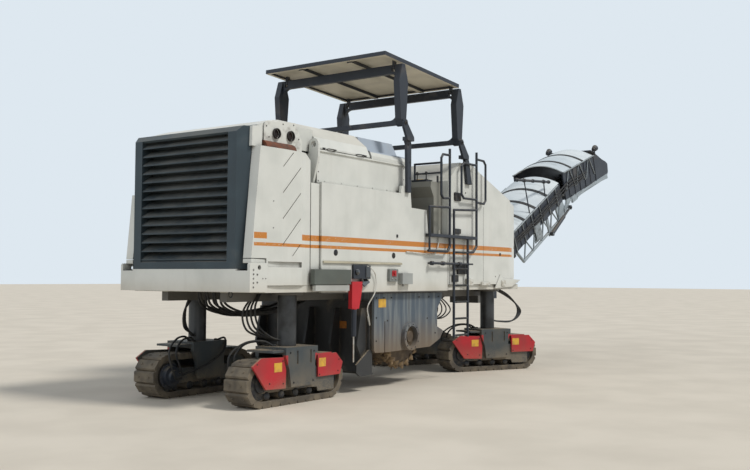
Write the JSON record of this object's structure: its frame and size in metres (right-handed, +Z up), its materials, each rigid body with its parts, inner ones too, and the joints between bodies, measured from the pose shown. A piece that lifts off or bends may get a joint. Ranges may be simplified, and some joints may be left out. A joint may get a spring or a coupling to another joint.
{
  "type": "cold planer",
  "caption": "Tracked cold planer for road surfaces with a milling drum, four height-adjustable crawler legs, a folding canopy and a slewing, folding discharge conveyor.",
  "frame": {"origin": "on the floor under the middle of the overall length and width", "axes": "+X to the front, where the conveyor is, +Y to the machine's left, +Z up"},
  "size_m": [13.7086, 2.987, 5.1894],
  "materials": {
    "body_white": "warm off-white paint, dusty",
    "grille_slate": "satin slate paint",
    "black_metal": "semi-gloss blue-black paint, dusty",
    "console_grey": "grey paint",
    "rusty_steel": "heat-stained and rusty",
    "housing_grey": "streaked blue-grey paint with earth at the foot",
    "worn_steel": "worn steel caked with dust",
    "chrome_rod": "oiled dark steel",
    "track_frame_grey": "dark grey-green paint with red guards",
    "track_steel": "worn track steel with dust"
  },
  "bodies": {
    "chassis": {"main_frame": "body_white", "rear_beam": "body_white", "grille": "grille_slate", "corner_panels": "body_white", "side_panels": "body_white", "front_body": "body_white", "engine": "black_metal", "drum_housing": "housing_grey", "inner_conveyor": "black_metal", "platform": "black_metal", "consoles": "console_grey", "ladders": "black_metal", "side_controls": "black_metal", "lifting_plates": "body_white", "exhaust": "rusty_steel", "canopy_posts": "black_metal"},
    "drum": {"milling_drum": "worn_steel"},
    "edge_right": {"edge_plate_right": "housing_grey"},
    "edge_left": {"edge_plate_left": "housing_grey"},
    "scraper_body": {"scraper": "black_metal"},
    "hood_body": {"hood": "body_white"},
    "rear_portal": {"portal_rear": "black_metal"},
    "front_portal": {"portal_front": "black_metal"},
    "roof_body": {"canopy_roof": "black_metal"},
    "swivel_body": {"conveyor_swivel": "black_metal"},
    "lower_conveyor": {"conveyor_lower": "black_metal", "covers_lower": "body_white"},
    "upper_conveyor": {"conveyor_upper": "black_metal", "covers_upper": "body_white"},
    "lift_barrel_body": {"lift_barrels": "black_metal"},
    "lift_rod_body": {"lift_rods": "chrome_rod"},
    "fold_barrel_body": {"fold_barrels": "black_metal"},
    "fold_rod_body": {"fold_rods": "chrome_rod"},
    "leg_rear_right": {"column_rear_right": "chrome_rod"},
    "track_unit_rear_right": {"track_frame_rear_right": "track_frame_grey", "track_rear_right": "track_steel"},
    "leg_rear_left": {"column_rear_left": "chrome_rod"},
    "track_unit_rear_left": {"track_frame_rear_left": "track_frame_grey", "track_rear_left": "track_steel"},
    "leg_front_right": {"column_front_right": "chrome_rod"},
    "track_unit_front_right": {"track_frame_front_right": "track_frame_grey", "track_front_right": "track_steel"},
    "leg_front_left": {"column_front_left": "chrome_rod"},
    "track_unit_front_left": {"track_frame_front_left": "track_frame_grey", "track_front_left": "track_steel"}
  },
  "joints": [
    {"name": "height_rear_right", "type": "slide", "parent": "chassis", "child": "leg_rear_right", "axis": [0, 0, 1], "range_m": [-0.05, 0.5]},
    {"name": "steer_rear_right", "type": "hinge", "parent": "leg_rear_right", "child": "track_unit_rear_right", "pos_m": [-5.71434, -0.87, 0.77], "axis": [0, 0, 1], "range_deg": [-25, 25]},
    {"name": "height_rear_left", "type": "slide", "parent": "chassis", "child": "leg_rear_left", "axis": [0, 0, 1], "range_m": [-0.05, 0.5]},
    {"name": "steer_rear_left", "type": "hinge", "parent": "leg_rear_left", "child": "track_unit_rear_left", "pos_m": [-5.71434, 0.87, 0.77], "axis": [0, 0, 1], "range_deg": [-25, 25]},
    {"name": "height_front_right", "type": "slide", "parent": "chassis", "child": "leg_front_right", "axis": [0, 0, 1], "range_m": [-0.05, 0.5]},
    {"name": "steer_front_right", "type": "hinge", "parent": "leg_front_right", "child": "track_unit_front_right", "pos_m": [0.04566, -0.87, 0.77], "axis": [0, 0, 1], "range_deg": [-10, 60]},
    {"name": "height_front_left", "type": "slide", "parent": "chassis", "child": "leg_front_left", "axis": [0, 0, 1], "range_m": [-0.05, 0.5]},
    {"name": "steer_front_left", "type": "hinge", "parent": "leg_front_left", "child": "track_unit_front_left", "pos_m": [0.04566, 0.87, 0.77], "axis": [0, 0, 1], "range_deg": [-10, 60]},
    {"name": "drum_turn", "type": "hinge", "parent": "chassis", "child": "drum", "pos_m": [-3.05434, 0, 0.78], "axis": [0, 1, 0], "continuous": true},
    {"name": "edge_float_right", "type": "slide", "parent": "chassis", "child": "edge_right", "axis": [0, 0, 1], "range_m": [-0.33, 0]},
    {"name": "edge_float_left", "type": "slide", "parent": "chassis", "child": "edge_left", "axis": [0, 0, 1], "range_m": [-0.33, 0]},
    {"name": "scraper_height", "type": "slide", "parent": "chassis", "child": "scraper_body", "axis": [0, 0, 1], "range_m": [-0.2, 0.1]},
    {"name": "hood_lift", "type": "hinge", "parent": "chassis", "child": "hood_body", "pos_m": [-4.11434, 0, 3.89], "axis": [0, 1, 0], "range_deg": [0, 45]},
    {"name": "canopy_fold", "type": "hinge", "parent": "chassis", "child": "rear_portal", "pos_m": [-3.45434, 0, 4.13], "axis": [0, 1, 0], "range_deg": [0, 78]},
    {"name": "front_portal_fold", "type": "hinge", "parent": "chassis", "child": "front_portal", "pos_m": [-1.70434, 0, 4.03], "axis": [0, 1, 0], "range_deg": [0, 78]},
    {"name": "roof_level", "type": "hinge", "parent": "rear_portal", "child": "roof_body", "pos_m": [-3.45434, 0, 5.015], "axis": [0, 1, 0], "range_deg": [-78, 0]},
    {"name": "conveyor_slew", "type": "hinge", "parent": "chassis", "child": "swivel_body", "pos_m": [1.10566, 0, 1.42], "axis": [0, 0, 1], "range_deg": [-40, 40]},
    {"name": "conveyor_lift", "type": "hinge", "parent": "swivel_body", "child": "lower_conveyor", "pos_m": [1.34566, 0, 1.72], "axis": [0, -1, 0], "range_deg": [-25, 4]},
    {"name": "conveyor_fold", "type": "hinge", "parent": "lower_conveyor", "child": "upper_conveyor", "pos_m": [4.25936, 0, 3.26926], "axis": [0, -1, 0], "range_deg": [-100, 6]},
    {"name": "lift_barrel_swing", "type": "hinge", "parent": "swivel_body", "child": "lift_barrel_body", "pos_m": [1.27566, 0, 1.34], "axis": [0, -1, 0], "range_deg": [-21.21, 4.08]},
    {"name": "lift_rod_slide", "type": "slide", "parent": "lift_barrel_body", "child": "lift_rod_body", "axis": [0.7852, 0, 0.6193], "range_m": [-0.1362, 0.0262]},
    {"name": "fold_barrel_swing", "type": "hinge", "parent": "lower_conveyor", "child": "fold_barrel_body", "pos_m": [3.43276, 0, 2.69383], "axis": [0, -1, 0], "range_deg": [-7.51, 0.52]},
    {"name": "fold_rod_slide", "type": "slide", "parent": "fold_barrel_body", "child": "fold_rod_body", "axis": [0.8319, 0, 0.5549], "range_m": [-0.1916, 0.0131]}
  ],
  "couplings": [
    {"joint": "steer_front_left", "follows": "steer_front_right", "ratio": 1},
    {"joint": "steer_rear_left", "follows": "steer_rear_right", "ratio": 1},
    {"joint": "front_portal_fold", "follows": "canopy_fold", "ratio": 1},
    {"joint": "roof_level", "follows": "canopy_fold", "ratio": -1},
    {"joint": "lift_barrel_swing", "follows": "conveyor_lift", "ratio": 0.8159},
    {"joint": "lift_rod_slide", "follows": "conveyor_lift", "m_per_rad": 0.3002},
    {"joint": "fold_barrel_swing", "follows": "conveyor_fold", "ratio": 0.0736},
    {"joint": "fold_rod_slide", "follows": "conveyor_fold", "m_per_rad": 0.1076}
  ]
}
